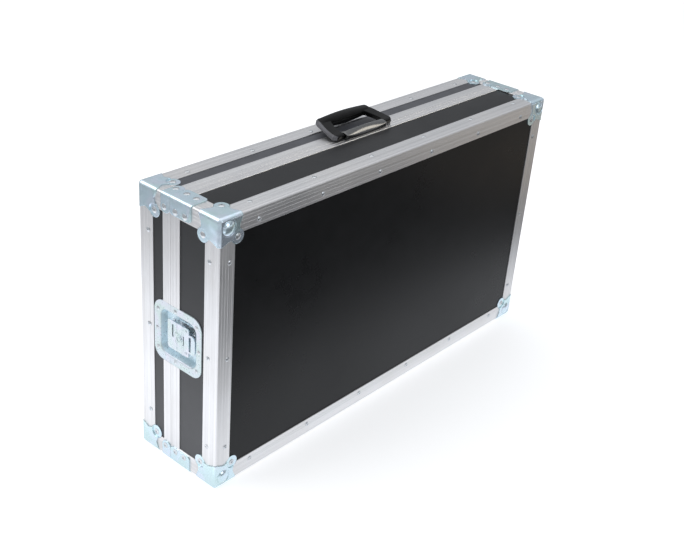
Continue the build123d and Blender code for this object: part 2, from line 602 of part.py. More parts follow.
def make_wing(s):
    """Wing lying flat: s = 1 is the wing towards the lid, s = -1 the one with the finger bar."""
    yp = hy + s * WING_PIVOT
    w = wing_sheet(s, 9.9, WING_PLATE[s], WING_HALF, 4.0)
    for t in (-1, 1):
        w = w + box(wx(PW - WING_T / 2), wx(PW + WING_T / 2), yp, hy + s * 10.5, hz + t * 8.0, hz + t * WING_HALF)
        w = w + cyl((wx(PW), yp, hz + t * 8.0), (0, 0, t), 1.9, WING_HALF - 8.0)
    if s > 0:
        w = w - rounded_box(wx(PW - 3), wx(PW + 3), hy + 13.0, hy + 17.0, hz - 3.0, hz + 19.0, 1.6)
    else:
        w = w + wing_sheet(s, BAR_FROM, BAR_REACH, BAR_HALF, 8.0)
        for t in (-1, 1):
            w = w + box(wx(PW - WING_T / 2), wx(PW + WING_T / 2), hy - 19.0, hy - 27.0, hz + t * 12.6, hz + t * (BAR_HALF - 0.4))
            # pressed buttons
            for r, h in ((2.6, 1.3), (2.0, 1.6), (1.2, 1.8)):
                w = w + cyl((wx(PW), hy - 14.0, hz + t * 19.6), (-1, 0, 0), r, h)
    w = w - cyl((wx(PW), yp, hz - 40), (0, 0, 1), 1.0 + PIN_CLEAR, 80)
    return sorted(w.solids(), key=lambda q: -q.volume)[0]


wing_lid = make_wing(1)
wing_body = make_wing(-1)

small_b, small_l = Holes(), Holes()
for sx in (-1, 1):
    for y, z in BASE_RIV:
        small_b.add((sx * (FX + floor_w + 1.6), y, z), (sx, 0, 0), 3.0, 1.0, 1.6 + STEEL)
    for y, z in KEEP_RIV:
        small_l.add((sx * (FX + floor_w + 1.4), y, z), (sx, 0, 0), 2.4, 0.9, 1.4 + STEEL)


def drill2(shape, *hs):
    for h in hs:
        shape = h.drill(shape)
    return shape


def mirror_x(shape):
    return mirror(shape, about=Plane.YZ)


for sx, xn in ((-1, "left"), (1, "right")):
    f = (lambda s: s) if sx < 0 else mirror_x
    parts[f"latch_{xn}_body_dish"] = drill2(f(body_dish), body_holes, small_b)
    parts[f"latch_{xn}_lid_dish"] = drill2(f(lid_dish), lid_holes, small_l)
    parts[f"latch_{xn}_hub"] = [f(hub)] + [f(p) for p in pins]
    parts[f"latch_{xn}_lid_wing"] = f(wing_lid)
    parts[f"latch_{xn}_body_wing"] = f(wing_body)
    parts[f"latch_{xn}_hook"] = f(hook)
parts["latch_base_plates"] = solids([drill2(base, small_b), drill2(mirror_x(base), small_b)])
parts["latch_keepers"] = solids([drill2(keeper, small_l), drill2(mirror_x(keeper), small_l)])

# --------------------------------------------------------------------- handle
ZT = Z1                                  # face of the closing profile
az_, ay_ = ZT + HANDLE_AXIS_UP, HANDLE_AXIS_Y
barrel = cyl((-BASE_HALF, ay_, ZT + BARREL_UP), (1, 0, 0), BARREL_R, 2 * BASE_HALF) + box(-BASE_HALF, BASE_HALF, 0.0, 20.0, ZT, ZT + 4)
barrel = barrel & box(-100, 100, -5, 25, ZT, ZT + 30)
barrel = barrel - box(-100, 100, SEAM_Y - 0.15, 30, ZT - 1, ZT + 0.6)
ends = [e for e in barrel.edges() if abs(abs(e.center().X) - BASE_HALF) < 1e-4 and e.length > 20 and e.center().Z > ZT + 5]
try:
    barrel = fillet(ends, 2.0)
except Exception:
    pass
HSCREW_X = (-30.0, 30.0)
HSCREW_Y = 5.0
pin_holes = [cyl((s * (BASE_HALF - 9), ay_, az_), (s, 0, 0), PIN_R, 20) for s in (-1, 1)]
screw_holes = [cyl((x, HSCREW_Y, ZT - 12), (0, 0, 1), 2.5, 18) for x in HSCREW_X]
barrel = barrel - pin_holes - screw_holes
parts["handle_base"] = barrel.solids()[0]
hp = [cyl((s * (BASE_HALF - 9), ay_, az_), (s, 0, 0), PIN_R, 27.5) for s in (-1, 1)]
parts["handle_pins"] = hp

# screws come from inside, through the wall and the closing profile
sc = []
for x in HSCREW_X:
    shank = cyl((x, HSCREW_Y, ZT - 10.2), (0, 0, 1), 2.5, 15.0)
    head = cyl((x, HSCREW_Y, ZT - 10.2 - 2.6), (0, 0, 1), 4.6, 2.6)
    head = head - cyl((x, HSCREW_Y, ZT - 10.2 - 3.6), (0, 0, 1), 1.6, 2.4)
    sc.append((shank + head).solids()[0])
parts["handle_screws"] = sc
scr_cut = [cyl((x, HSCREW_Y, ZT - 10.2), (0, 0, 1), 2.6, 10.2) for x in HSCREW_X]
parts["body_top_wall"] = parts["body_top_wall"] - scr_cut
parts["body_closing_profile_top"] = solids(Compound(parts["body_closing_profile_top"]) - scr_cut)

# grip: drawn lying level, pivot at the origin, then tilted to rest
G = GRIP_HALF
plan = [(-G, -3.8), (G, -3.8), (G - 3, 22), (G - 10, 47), (G - 15.5, 56), (-G + 15.5, 56), (-G + 10, 47), (-G + 3, 22)]
hole = [(-BASE_HALF - 0.8, -8), (BASE_HALF + 0.8, -8), (BASE_HALF + 0.3, 13.5), (42.5, 35.0), (-42.5, 35.0), (-BASE_HALF - 0.3, 13.5)]
pl = Plane(origin=(0, 0, -3.4), x_dir=(1, 0, 0), z_dir=(0, 0, 1))
ring = prism(plan, pl, 6.8) - prism(hole, Plane(origin=(0, 0, -20), x_dir=(1, 0, 0), z_dir=(0, 0, 1)), 40)
grip_mid = Pos(0, 47.0, -1.6) * Rotation(0, 90, 0) * Cylinder(10.4, 80)
cone_l = Pos(-40 - 11, 47.0, -1.6) * Rotation(0, -90, 0) * Cone(10.4, 5.5, 22)
cone_r = Pos(40 + 11, 47.0, -1.6) * Rotation(0, 90, 0) * Cone(10.4, 5.5, 22)
knuckles = [cyl((s * (BASE_HALF + 0.8), 0, 0), (s, 0, 0), 5.2, G - BASE_HALF - 0.8) for s in (-1, 1)]
grip = ring + grip_mid + cone_l + cone_r
for k in knuckles:
    grip = grip + k
grip = grip - [cyl((s * (BASE_HALF - 2), 0, 0), (s, 0, 0), PIN_R + PIN_CLEAR, 21) for s in (-1, 1)]
grip = sorted(grip.solids(), key=lambda q: -q.volume)[0]
grip = Pos(0, ay_, az_) * Rotation(HANDLE_TILT, 0, 0) * grip
parts["handle_grip"] = grip

# ----------------------------------------------------------------------- foam
FX1 = XI - FOAM_GAP
FZ0, FZ1 = ZI0 + FOAM_GAP, ZI1 - FOAM_GAP
for ys, half, holes in ((-1, "body", body_holes), (1, "lid", lid_holes)):
    yb1, yb0 = ys * (YI - FOAM_GAP), ys * (YI - FOAM_GAP - FOAM_BASE)
    pieces = [box(-FX1, FX1, yb0, yb1, FZ0, FZ1)]
    yw0 = yb0 - ys * 0.1
    yw1 = -4.0 if ys < 0 else 35.0
    pieces.append(box(-FX1, FX1, yw0, yw1, FZ1 - FOAM_T, FZ1))
    pieces.append(box(-FX1, FX1, yw0, yw1, FZ0, FZ0 + FOAM_T))
    for s in (-1, 1):
        strip = box(s * FX1, s * (FX1 - FOAM_T), yw0, yw1, FZ0 + FOAM_T + 0.1, FZ1 - FOAM_T - 0.1)
        strip = strip - box(s * (FX1 + 1), s * (FX1 - FOAM_T - 1), WIN_Y[0] - 2, WIN_Y[1] + 2, WIN_Z[0] - 2, WIN_Z[1] + 2)
        pieces += solids(strip)
    parts[f"{half}_foam_lining"] = pieces

parts["body_rivets"] = body_holes.rivets + small_b.rivets
parts["lid_rivets"] = lid_holes.rivets + small_l.rivets

# ---------------------------------------------------------------------- write
os.makedirs("parts", exist_ok=True)
for name, shape in parts.items():
    ss = solids(shape)
    obj = ss[0] if len(ss) == 1 else Compound(ss)
    obj.label = name
    export_step(obj, f"parts/{name}.step")
print(len(parts), "nodes")
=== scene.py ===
import math

import bmesh
import bpy
from mathutils import Matrix, Vector, noise


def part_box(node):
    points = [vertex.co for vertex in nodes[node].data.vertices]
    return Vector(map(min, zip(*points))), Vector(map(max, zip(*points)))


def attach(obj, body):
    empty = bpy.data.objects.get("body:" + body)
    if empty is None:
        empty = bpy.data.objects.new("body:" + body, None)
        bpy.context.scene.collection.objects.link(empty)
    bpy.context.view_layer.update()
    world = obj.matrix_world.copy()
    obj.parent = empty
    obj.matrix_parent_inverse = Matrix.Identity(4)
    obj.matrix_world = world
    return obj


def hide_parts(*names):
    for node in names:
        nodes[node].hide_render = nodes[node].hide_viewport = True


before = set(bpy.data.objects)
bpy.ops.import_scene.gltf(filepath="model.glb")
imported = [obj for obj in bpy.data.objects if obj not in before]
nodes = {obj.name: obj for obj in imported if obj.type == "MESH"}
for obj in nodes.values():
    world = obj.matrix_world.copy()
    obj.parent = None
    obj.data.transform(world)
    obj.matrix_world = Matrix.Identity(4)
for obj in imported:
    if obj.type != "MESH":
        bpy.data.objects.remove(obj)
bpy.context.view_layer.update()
scene = bpy.context.scene

# ---------------------------------------------------------------- camera
AZ, EL, ROLL = math.radians(-50.4581), math.radians(28.5163), math.radians(-4.7609)
back = Vector((math.sin(AZ) * math.cos(EL), -math.cos(AZ) * math.cos(EL), math.sin(EL)))
right = Vector((math.cos(AZ), math.sin(AZ), 0.0))
up = back.cross(right)
cr, sr = math.cos(ROLL), math.sin(ROLL)
cam_right = right * cr - up * sr
cam_up = right * sr + up * cr
rot = Matrix((cam_right, cam_up, back)).transposed()
cam_data = bpy.data.cameras.new("camera")
cam_data.sensor_width = 36.0
cam_data.lens = 1074.066 * 36.0 / 684.0
cam = bpy.data.objects.new("camera", cam_data)
scene.collection.objects.link(cam)
cam.matrix_world = Matrix.Translation(Vector((-1.3062, -1.0485, 1.1103))) @ rot.to_4x4()
scene.camera = cam
scene.view_settings.view_transform = "Standard"


# ---------------------------------------------------------------- node helper
class Tree:
    """Small helper round a node tree."""

    def __init__(self, tree):
        self.t = tree
        self.n = tree.nodes
        self.x = 0

    def add(self, kind, **values):
        node = self.n.new(kind)
        self.x += 40
        node.location = (self.x, 0)
        for k, v in values.items():
            setattr(node, k, v)
        return node

    def link(self, a, b):
        self.t.links.new(a, b)

    def put(self, node, name, value):
        s = node.inputs[name]
        if isinstance(value, bpy.types.NodeSocket):
            self.link(value, s)
        else:
            s.default_value = value

    def math(self, op, a, b=None, c=None, clamp=False):
        m = self.add("ShaderNodeMath", operation=op, use_clamp=clamp)
        for i, v in enumerate((a, b, c)):
            if v is None:
                continue
            self.put(m, i, v)
        return m.outputs[0]

    def coords(self, scale=(1, 1, 1), offset=(0, 0, 0)):
        tc = self.add("ShaderNodeTexCoord")
        mp = self.add("ShaderNodeMapping")
        mp.inputs["Location"].default_value = offset
        mp.inputs["Scale"].default_value = scale
        self.link(tc.outputs["Object"], mp.inputs["Vector"])
        return mp.outputs[0]

    def noise(self, vec, scale=1.0, detail=3.0, rough=0.5, distortion=0.0):
        t = self.add("ShaderNodeTexNoise")
        self.link(vec, t.inputs["Vector"])
        t.inputs["Scale"].default_value = scale
        t.inputs["Detail"].default_value = detail
        t.inputs["Roughness"].default_value = rough
        t.inputs["Distortion"].default_value = distortion
        return t.outputs[0]

    def voronoi(self, vec, scale=1.0, feature="F1", randomness=1.0):
        t = self.add("ShaderNodeTexVoronoi", feature=feature)
        self.link(vec, t.inputs["Vector"])
        t.inputs["Scale"].default_value = scale
        t.inputs["Randomness"].default_value = randomness
        return t.outputs["Distance"]

    def remap(self, v, a, b, c, d, smooth=False):
        m = self.add("ShaderNodeMapRange", interpolation_type="SMOOTHSTEP" if smooth else "LINEAR")
        self.put(m, "Value", v)
        m.inputs["From Min"].default_value = a
        m.inputs["From Max"].default_value = b
        m.inputs["To Min"].default_value = c
        m.inputs["To Max"].default_value = d
        return m.outputs[0]

    def mix(self, f, a, b):
        m = self.add("ShaderNodeMix", data_type="RGBA")
        self.put(m, 0, f)
        for i, v in ((6, a), (7, b)):
            if isinstance(v, bpy.types.NodeSocket):
                self.link(v, m.inputs[i])
            else:
                m.inputs[i].default_value = (v[0], v[1], v[2], 1.0)
        return m.outputs[2]

    def bump(self, height, strength, distance, normal=None):
        b = self.add("ShaderNodeBump")
        b.inputs["Strength"].default_value = strength
        b.inputs["Distance"].default_value = distance
        self.link(height, b.inputs["Height"])
        if normal is not None:
            self.link(normal, b.inputs["Normal"])
        return b.outputs[0]

    def bevel(self, radius, samples=4):
        b = self.add("ShaderNodeBevel", samples=samples)
        b.inputs["Radius"].default_value = radius
        return b.outputs[0]


def material(name):
    m = bpy.data.materials.new(name)
    m.use_nodes = True
    t = Tree(m.node_tree)
    return m, t, m.node_tree.nodes["Principled BSDF"]


# ---------------------------------------------------------------- materials
AX = {"x": (1, 0, 0), "y": (0, 1, 0), "z": (0, 0, 1)}


def aluminium(name, along, seed=0.0):
    """Drawn profile: fine lines along its length, faint stains, rubbed spots."""
    m, t, b = material(name)
    long_, across = 3.0, 1150.0
    s = tuple(long_ if c == along else across for c in "xyz")
    lines = t.noise(t.coords(s, (seed, seed * 2.1, seed * 0.7)), 1.0, 2.0, 0.6)
    s2 = tuple(1.6 if c == along else 260.0 for c in "xyz")
    bands = t.noise(t.coords(s2, (seed + 3, seed, seed)), 1.0, 2.0, 0.5)
    cloud = t.noise(t.coords((9, 9, 9), (seed, 0, 0)), 1.0, 4.0, 0.55)
    fine = t.noise(t.coords((420, 420, 420)), 1.0, 3.0, 0.6)
    s3 = tuple(22.0 if c == along else 520.0 for c in "xyz")
    scratch = t.noise(t.coords(s3, (seed * 5, 1, 4)), 1.0, 1.0, 0.4, 0.6)
    scr = t.remap(scratch, 0.70, 0.74, 0.0, 1.0)
    c1 = t.mix(t.remap(bands, 0.3, 0.7, 0.0, 1.0), (0.69, 0.685, 0.69), (0.83, 0.825, 0.83))
    c2 = t.mix(t.remap(cloud, 0.40, 0.75, 0.0, 0.45), c1, (0.74, 0.715, 0.69))
    c3 = t.mix(t.math("MULTIPLY", scr, 0.35), c2, (0.92, 0.92, 0.93))
    t.put(b, "Base Color", c3)
    b.inputs["Metallic"].default_value = 1.0
    r = t.math("ADD", t.remap(lines, 0.3, 0.7, 0.30, 0.42), t.remap(cloud, 0.35, 0.7, -0.03, 0.07))
    t.put(b, "Roughness", t.math("ADD", r, t.math("MULTIPLY", fine, 0.04)))
    h = t.math("ADD", t.math("MULTIPLY", lines, 0.6), t.math("MULTIPLY", bands, 0.6))
    h = t.math("SUBTRACT", h, t.math("MULTIPLY", scr, 0.25))
    t.put(b, "Normal", t.bump(h, 0.35, 0.00012, t.bevel(0.0004)))
    return m


def zinc(name, seed=0.0, tint=(0.0, 0.0, 0.0), rough=0.20, metal=0.88, recess_painted_light=False, bevel=0.0009):
    """Blue passivated zinc plate: bluish, greenish and violet clouds, fine spangle; with the recess switch set, a
    paler, bluer colour is painted deeper in the recess of the dish, painted light.
    """
    m, t, b = material(name)
    hue = t.noise(t.coords((20, 20, 20), (seed, seed * 1.3, seed * 0.6)), 1.0, 2.0, 0.5, 0.4)
    hue2 = t.noise(t.coords((34, 34, 34), (seed + 7, seed, 2)), 1.0, 3.0, 0.5, 0.8)
    mott = t.noise(t.coords((260, 260, 260), (seed, 0, 0)), 1.0, 4.0, 0.62)
    spang = t.voronoi(t.coords((620, 620, 620)), 1.0)
    tt = tint
    blue = (0.63 + tt[0], 0.75 + tt[1], 0.83 + tt[2])
    teal = (0.60 + tt[0], 0.74 + tt[1], 0.75 + tt[2])
    violet = (0.70 + tt[0], 0.75 + tt[1], 0.85 + tt[2])
    c = t.mix(t.remap(hue, 0.38, 0.62, 0.0, 1.0, True), blue, teal)
    c = t.mix(t.remap(hue2, 0.45, 0.66, 0.0, 0.85, True), c, violet)
    c = t.mix(t.remap(mott, 0.45, 0.80, 0.0, 0.30), c, (0.78 + tt[0], 0.83 + tt[1], 0.87 + tt[2]))
    # Painted light: a paler, bluer colour deeper in the recess of the dish, standing in for the light the recess
    # reflects.
    if recess_painted_light:
        tc, sx = t.add("ShaderNodeTexCoord"), t.add("ShaderNodeSeparateXYZ")
        t.link(tc.outputs["Object"], sx.inputs[0])
        f = t.remap(t.math("ABSOLUTE", sx.outputs[0]), 0.4052, 0.4080, 0.92, 0.0, True)
        c = t.mix(f, c, t.mix(t.remap(mott, 0.35, 0.75, 0.0, 1.0), (0.72, 0.89, 0.97), (0.81, 0.92, 0.98)))
    t.put(b, "Base Color", c)
    b.inputs["Metallic"].default_value = metal
    r = t.math("ADD", t.remap(mott, 0.3, 0.7, rough - 0.03, rough + 0.06), t.math("MULTIPLY", spang, 0.03))
    t.put(b, "Roughness", r)
    wav = t.noise(t.coords((48, 48, 48), (seed, 5, 5)), 1.0, 1.0, 0.5)
    h = t.math("ADD", t.math("MULTIPLY", wav, 1.0), t.math("MULTIPLY", mott, 0.008))
    t.put(b, "Normal", t.bump(h, 0.45, 0.0010, t.bevel(bevel)))
    return m


def bright_steel(name, seed=0.0):
    """Zinc plated rivets, pins and screws."""
    m, t, b = material(name)
    n = t.noise(t.coords((330, 330, 330), (seed, 0, 0)), 1.0, 3.0, 0.6)
    big = t.noise(t.coords((45, 45, 45)), 1.0, 1.0, 0.5)
    c = t.mix(t.remap(n, 0.35, 0.7, 0.0, 1.0), (0.60, 0.615, 0.63), (0.76, 0.77, 0.78))
    c = t.mix(t.remap(big, 0.4, 0.65, 0.0, 0.4), c, (0.60, 0.66, 0.70))
    t.put(b, "Base Color", c)
    b.inputs["Metallic"].default_value = 1.0
    t.put(b, "Roughness", t.remap(n, 0.3, 0.7, 0.22, 0.36))
    t.put(b, "Normal", t.bump(n, 0.2, 0.0002, t.bevel(0.0003)))
    return m


def laminate(name, base, seed=0.0, rough=0.33, grain=1.0, dust=0.5, level=0.5, painted_floor_light=0.0):
    """Smooth black laminate with an orange peel skin, light smears and dust specks; the last argument paints light
    near the floor, a lighter colour towards the bottom for the light the floor throws back.
    """
    m, t, b = material(name)
    peel = t.noise(t.coords((950, 950, 950), (seed, 0, 0)), 1.0, 2.0, 0.5)
    cell = t.voronoi(t.coords((720, 720, 720)), 1.0, "SMOOTH_F1")
    smear = t.noise(t.coords((3.4, 3.4, 3.4), (seed, 2, 1)), 1.0, 4.0, 0.6, 0.5)
    fine = t.noise(t.coords((34, 34, 34), (seed, 2, 1)), 1.0, 5.0, 0.65)
    speck = t.noise(t.coords((1500, 1500, 1500), (3, seed, 1)), 1.0, 0.0, 0.5)
    sp = t.remap(speck, 0.76, 0.80, 0.0, 1.0)
    g = base
    c = t.mix(t.remap(fine, 0.35, 0.7, 0.0, 1.0), (g * 0.96, g, g * 1.16), (g * 1.42, g * 1.48, g * 1.72))
    c = t.mix(t.math("MULTIPLY", sp, 0.5 * dust), c, (0.10, 0.10, 0.105))
    # Painted floor light: the colour grows lighter towards the bottom, standing in for light thrown up from the floor.
    if painted_floor_light:
        tc, sz = t.add("ShaderNodeTexCoord"), t.add("ShaderNodeSeparateXYZ")
        t.link(tc.outputs["Object"], sz.inputs[0])
        low = t.math("MULTIPLY", t.remap(sz.outputs[2], 0.05, 0.34, painted_floor_light, 0.0, True), t.remap(fine, 0.3, 0.7, 0.85, 1.1))
        c = t.mix(low, c, (0.078, 0.079, 0.085))
    t.put(b, "Base Color", c)
    b.inputs["Specular IOR Level"].default_value = level
    r = t.math("ADD", t.remap(smear, 0.3, 0.7, rough - 0.05, rough + 0.07), t.remap(fine, 0.3, 0.7, -0.02, 0.03))
    t.put(b, "Roughness", r)
    h = t.math("ADD", t.math("MULTIPLY", peel, 0.5), t.math("MULTIPLY", cell, 0.5 * grain))
    t.put(b, "Normal", t.bump(h, 0.22 * grain, 0.0002))
    return m


def plastic(name, level=0.30, coat=0.0, light=0.0095, painted_sheen=False):
    """Glossy moulded plastic with faint flow marks and rubbed patches; the last switch paints a grey highlight on the
    outer upward bevels of the arms.
    """
    m, t, b = material(name)
    fine = t.noise(t.coords((900, 900, 900)), 1.0, 2.0, 0.5)
    wav = t.noise(t.coords((60, 120, 120)), 1.0, 2.0, 0.5)
    rub = t.noise(t.coords((38, 38, 38)), 1.0, 4.0, 0.6)
    c = t.mix(t.remap(rub, 0.4, 0.75, 0.0, 1.0), (0.0030, 0.0030, 0.0032), (light, light * 0.99, light * 0.96))
    r = t.remap(rub, 0.35, 0.75, 0.16, 0.28)
    if painted_sheen:
        # Painted highlight: grey on the outer bevels of the arms that face sideways and up, where they catch the
        # light; these faces are also made rougher.
        tc = t.add("ShaderNodeTexCoord")
        sn, sp = t.add("ShaderNodeSeparateXYZ"), t.add("ShaderNodeSeparateXYZ")
        t.link(tc.outputs["Normal"], sn.inputs[0])
        t.link(tc.outputs["Object"], sp.inputs[0])
        edge = t.remap(t.math("ABSOLUTE", sn.outputs[0]), 0.42, 0.60, 0.0, 1.0, True)
        edge = t.math("MULTIPLY", edge, t.remap(sn.outputs[2], -0.40, -0.20, 0.0, 1.0, True))
        edge = t.math("MULTIPLY", edge, t.remap(t.math("ABSOLUTE", sp.outputs[0]), 0.054, 0.058, 0.0, 1.0))
        edge = t.math("MULTIPLY", edge, t.remap(rub, 0.25, 0.55, 0.65, 1.0))
        c = t.mix(edge, c, (0.145, 0.145, 0.155))
        r = t.math("ADD", r, t.math("MULTIPLY", edge, 0.16))
    t.put(b, "Base Color", c)
    t.put(b, "Roughness", r)
    b.inputs["Specular IOR Level"].default_value = level
    b.inputs["Coat Weight"].default_value = coat
    b.inputs["Coat Roughness"].default_value = 0.16
    h = t.math("ADD", t.math("MULTIPLY", fine, 0.06), t.math("MULTIPLY", wav, 0.94))
    t.put(b, "Normal", t.bump(h, 0.10, 0.0004))
    return m


def foam_material(name):
    m, t, b = material(name)
    cell = t.voronoi(t.coords((850, 850, 850)), 1.0)
    big = t.noise(t.coords((14, 14, 14)), 1.0, 4.0, 0.6)
    c = t.mix(t.remap(cell, 0.1, 0.7, 0.0, 1.0), (0.018, 0.018, 0.020), (0.060, 0.060, 0.064))
    c = t.mix(t.remap(big, 0.4, 0.7, 0.0, 0.5), c, (0.048, 0.047, 0.048))
    t.put(b, "Base Color", c)
    b.inputs["Roughness"].default_value = 0.95
    b.inputs["Specular IOR Level"].default_value = 0.25
    t.put(b, "Normal", t.bump(cell, 0.6, 0.0006))
    return m


M_AL = {c: aluminium("aluminium_" + c, c, 1.7 * i) for i, c in enumerate("xyz")}
M_ZINC = [zinc("zinc_steel_%d" % i, 2.3 * i, (0.02, 0.05, 0.06), 0.19, 0.90) for i in range(4)]
M_LATCH = zinc("zinc_steel_latch", 11.0, (-0.05, -0.09, -0.11), 0.25, 0.78, False, 0.0003)
M_DISH = zinc("zinc_steel_dish", 17.0, (-0.05, -0.09, -0.11), 0.27, 0.50, True, 0.0003)
M_RIVET = bright_steel("rivet_steel")
# Lit and shaded copies of one black laminate: the front panel's base is painted darkest and the lid's top wall much
# lighter. The walls and the body top lie in between. The split follows how the light falls on each face, and the walls
# also get painted floor light near the bottom.
M_PANEL = laminate("black_laminate_panel", 0.0026, 0.0, 0.30, 0.8, 0.35, 0.19)
M_WALL = laminate("black_laminate_wall", 0.0080, 4.0, 0.36, 1.0, 0.6, 0.38, 0.70)
M_TOP = laminate("black_laminate_top", 0.0060, 6.0, 0.36, 1.0, 0.6, 0.30)
M_WALL_TOP = laminate("black_laminate_lid_top", 0.0480, 9.0, 0.40, 1.0, 0.8, 0.5)
M_PLASTIC = plastic("handle_plastic", 0.12, 0.0, 0.0080, True)
M_BARREL = plastic("handle_barrel", 1.0, 1.0, 0.020)
M_FOAM = foam_material("foam")


def dress(obj, mat):
    if not obj.data.materials:
        obj.data.materials.append(mat)
    for i in range(len(obj.data.materials)):
        obj.data.materials[i] = mat


for name, obj in nodes.items():
    if "rivets" in name or name in ("handle_pins", "handle_screws"):
        mt = M_RIVET
    elif name.startswith("latch"):
        mt = M_DISH if name.endswith("dish") else M_LATCH
    elif "corner" in name:
        mt = M_ZINC[sum(ord(ch) for ch in name) % 4]
    elif "short_edges" in name:
        mt = M_AL["y"]
    elif "edge" in name or "closing" in name:
        mt = M_AL["x"] if name.endswith(("top", "bottom")) else M_AL["z"]
    elif "panel" in name:
        mt = M_PANEL
    elif "wall" in name:
        mt = {"lid_top_wall": M_WALL_TOP, "body_top_wall": M_TOP}.get(name, M_WALL)
    elif "foam" in name:
        mt = M_FOAM
    else:
        mt = M_PLASTIC
    dress(obj, mt)


# ---------------------------------------------------------------- mesh helpers
def new_object(name, mesh, mat):
    o = bpy.data.objects.new(name, mesh)
    scene.collection.objects.link(o)
    mesh.materials.append(mat)
    return o


def apply_modifiers(obj):
    dg = bpy.context.evaluated_depsgraph_get()
    me = bpy.data.meshes.new_from_object(obj.evaluated_get(dg))
    obj.modifiers.clear()
    old = obj.data
    obj.data = me
    bpy.data.meshes.remove(old)


def shade_smooth(obj):
    obj.data.polygons.foreach_set("use_smooth", [True] * len(obj.data.polygons))


def loft(bm, rings, closed_ends=True):
    """Skin over rings of equal length."""
    vs = [[bm.verts.new(p) for p in ring] for ring in rings]
    n = len(rings[0])
    for a, b in zip(vs[:-1], vs[1:]):
        for i in range(n):
            j = (i + 1) % n
            bm.faces.new((a[i], a[j], b[j], b[i]))
    if closed_ends:
        bm.faces.new(list(reversed(vs[0])))
        bm.faces.new(vs[-1])
    return vs


def remeshed(name, bm, voxel, smooth, mat):
    bmesh.ops.recalc_face_normals(bm, faces=bm.faces)
    me = bpy.data.meshes.new(name)
    bm.to_mesh(me)
    bm.free()
    o = new_object(name, me, mat)
    r = o.modifiers.new("remesh", "REMESH")
    r.mode = "VOXEL"
    r.voxel_size = voxel
    r.use_smooth_shade = True
    s = o.modifiers.new("smooth", "SMOOTH")
    s.factor = 0.5
    s.iterations = smooth
    apply_modifiers(o)
    shade_smooth(o)
    return o


# ---------------------------------------------------------------- handle
AXIS_Y, AXIS_Z = 0.010, 0.4725
TILT = math.radians(12.0)


def superellipse(n, ry, rz, p):
    out = []
    for i in range(n):
        a = 2 * math.pi * i / n
        c, s = math.cos(a), math.sin(a)
        out.append((ry * math.copysign(abs(c) ** (2 / p), c), rz * math.copysign(abs(s) ** (2 / p), s)))
    return out


def flat_bar(xa, xb, za, zb, cut, low):
    """Flat section: large flat chamfer on the upper outer edge, small roundings elsewhere."""
    s = 1.0 if abs(xb) > abs(xa) and xb > 0 else -1.0
    r = low
    pts = [(xa + s * r, za), (xb - s * r, za), (xb - s * r * 0.3, za + r * 0.3), (xb, za + r), (xb, zb - cut - 0.0004),
           (xb - s * 0.0002, zb - cut), (xb - s * (cut - 0.0002), zb - 0.0004), (xb - s * (cut + 0.0004), zb),
           (xa + s * r, zb), (xa + s * r * 0.3, zb - r * 0.3), (xa, zb - r), (xa, za + r), (xa + s * r * 0.3, za + r * 0.3)]
    return pts


def handle_grip():
    bm = bmesh.new()
    # two flat arms, each lofted from its eye at the barrel to the grip: y, inner x, outer x, lower z, upper z
    for s in (-1, 1):
        rings = []
        rows = [(-0.0041, 0.0515, 0.0672, -0.0032, 0.0032), (-0.0034, 0.0515, 0.0685, -0.0041, 0.0042), (0.0, 0.0515, 0.0719, -0.0047, 0.0048), (0.0025, 0.0515, 0.0738, -0.0045, 0.0047),
                (0.008, 0.0513, 0.0732, -0.0038, 0.0044), (0.016, 0.0498, 0.0720, -0.0036, 0.0042),
                (0.024, 0.0473, 0.0703, -0.0036, 0.0042), (0.032, 0.0442, 0.0684, -0.0038, 0.0044), (0.040, 0.0405, 0.0659, -0.0044, 0.0047),
                (0.047, 0.0350, 0.0632, -0.0052, 0.0047), (0.0535, 0.0310, 0.0598, -0.0054, 0.0041), (0.0552, 0.0310, 0.0582, -0.0048, 0.0034)]
        for y, a, b, z0, z1 in rows:
            ring = flat_bar(s * a, s * b, z0, z1, 0.0031, 0.0009)
            rings.append([Vector((u, y, v - 0.0006 * y / 0.05)) for u, v in ring])
        loft(bm, rings)
    # the grip: a long lens, fullest in the middle and flatter on top
    rings = []
    steps = 48
    for i in range(steps + 1):
        f = -1 + 2 * i / steps
        x = 0.0618 * f
        k = abs(f)
        ry = 0.0108 - 0.0022 * k ** 2.0
        rz = 0.0105 - 0.0056 * k ** 1.8
        if k > 0.93:
            q = (k - 0.93) / 0.07
            ry *= math.sqrt(max(0.0, 1 - 0.5 * q * q))
            rz *= math.sqrt(max(0.0, 1 - 0.5 * q * q))
        yc = 0.0460 + 0.0012 * (1 - k * k)
        zc = -0.0024 + 0.0026 * (k ** 2)
        rings.append([Vector((x, yc + u, zc + (v if v < 0 else v * 0.96))) for u, v in superellipse(34, ry, rz, 2.5)])
    loft(bm, rings)
    o = remeshed("handle_grip_shell", bm, 0.0005, 3, M_PLASTIC)
    o.data.transform(Matrix.Translation((0, AXIS_Y, AXIS_Z)) @ Matrix.Rotation(TILT, 4, "X"))
    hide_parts("handle_grip")
    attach(o, "handle")
    return o


